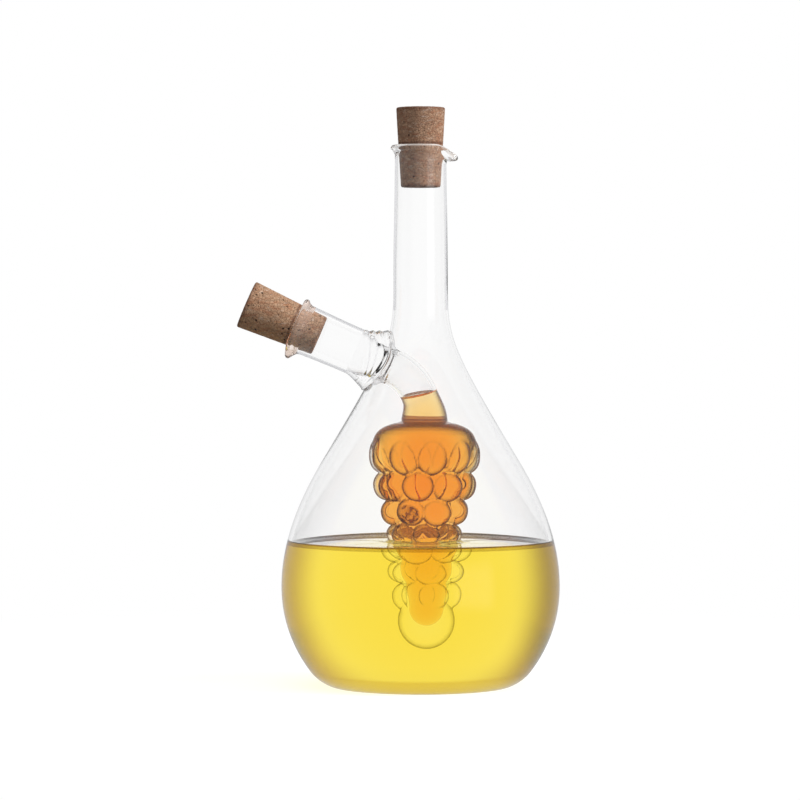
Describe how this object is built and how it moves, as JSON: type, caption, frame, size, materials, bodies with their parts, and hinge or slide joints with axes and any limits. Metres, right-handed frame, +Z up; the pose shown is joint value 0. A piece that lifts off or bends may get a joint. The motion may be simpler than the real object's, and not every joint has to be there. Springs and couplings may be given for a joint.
{
  "type": "oil and vinegar bottle",
  "caption": "Blown glass oil flask with a vinegar vessel shaped like a bunch of grapes sealed inside it, a slanted side spout and tapered corks.",
  "frame": {"origin": "centre of the flask's flat base, on the flask's axis", "axes": "+Z up along the neck, -X towards the side spout"},
  "size_m": [0.1159, 0.1, 0.2079],
  "materials": {
    "glass": "gloss",
    "oil": "gloss",
    "vinegar": "gloss",
    "neck_cork": "matte",
    "spout_cork": "matte"
  },
  "bodies": {
    "glass": {"flask": "glass", "spout_tube": "glass", "spout_seal": "glass", "vinegar_elbow": "glass", "vinegar_vessel": "glass", "tip_drop": "glass", "grape_1_1": "glass", "grape_1_2": "glass", "grape_1_3": "glass", "grape_1_4": "glass", "grape_1_5": "glass", "grape_1_6": "glass", "grape_1_7": "glass", "grape_1_8": "glass", "grape_1_9": "glass", "grape_1_10": "glass", "grape_2_1": "glass", "grape_2_2": "glass", "grape_2_3": "glass", "grape_2_4": "glass", "grape_2_5": "glass", "grape_2_6": "glass", "grape_2_7": "glass", "grape_2_8": "glass", "grape_3_1": "glass", "grape_3_2": "glass", "grape_3_3": "glass", "grape_3_4": "glass", "grape_3_5": "glass", "grape_3_6": "glass", "grape_3_7": "glass", "grape_3_8": "glass", "grape_4_1": "glass", "grape_4_2": "glass", "grape_4_3": "glass", "grape_4_4": "glass", "grape_4_5": "glass", "grape_4_6": "glass", "grape_4_7": "glass", "grape_5_1": "glass", "grape_5_2": "glass", "grape_5_3": "glass", "grape_5_4": "glass", "grape_5_5": "glass", "grape_5_6": "glass", "grape_6_1": "glass", "grape_6_2": "glass", "grape_6_3": "glass", "grape_6_4": "glass", "grape_6_5": "glass", "grape_6_6": "glass", "grape_7_1": "glass", "grape_7_2": "glass", "grape_7_3": "glass", "grape_7_4": "glass", "oil": "oil", "vinegar": "vinegar"},
    "neck_cork": {"neck_cork": "neck_cork"},
    "spout_cork": {"spout_cork": "spout_cork"}
  },
  "joints": [
    {"name": "neck_cork_pull", "type": "slide", "parent": "glass", "child": "neck_cork", "axis": [0, 0, 1], "range_m": [0, 0.045]},
    {"name": "spout_cork_pull", "type": "slide", "parent": "glass", "child": "spout_cork", "axis": [-0.9171, 0, 0.3987], "range_m": [0, 0.04]}
  ]
}
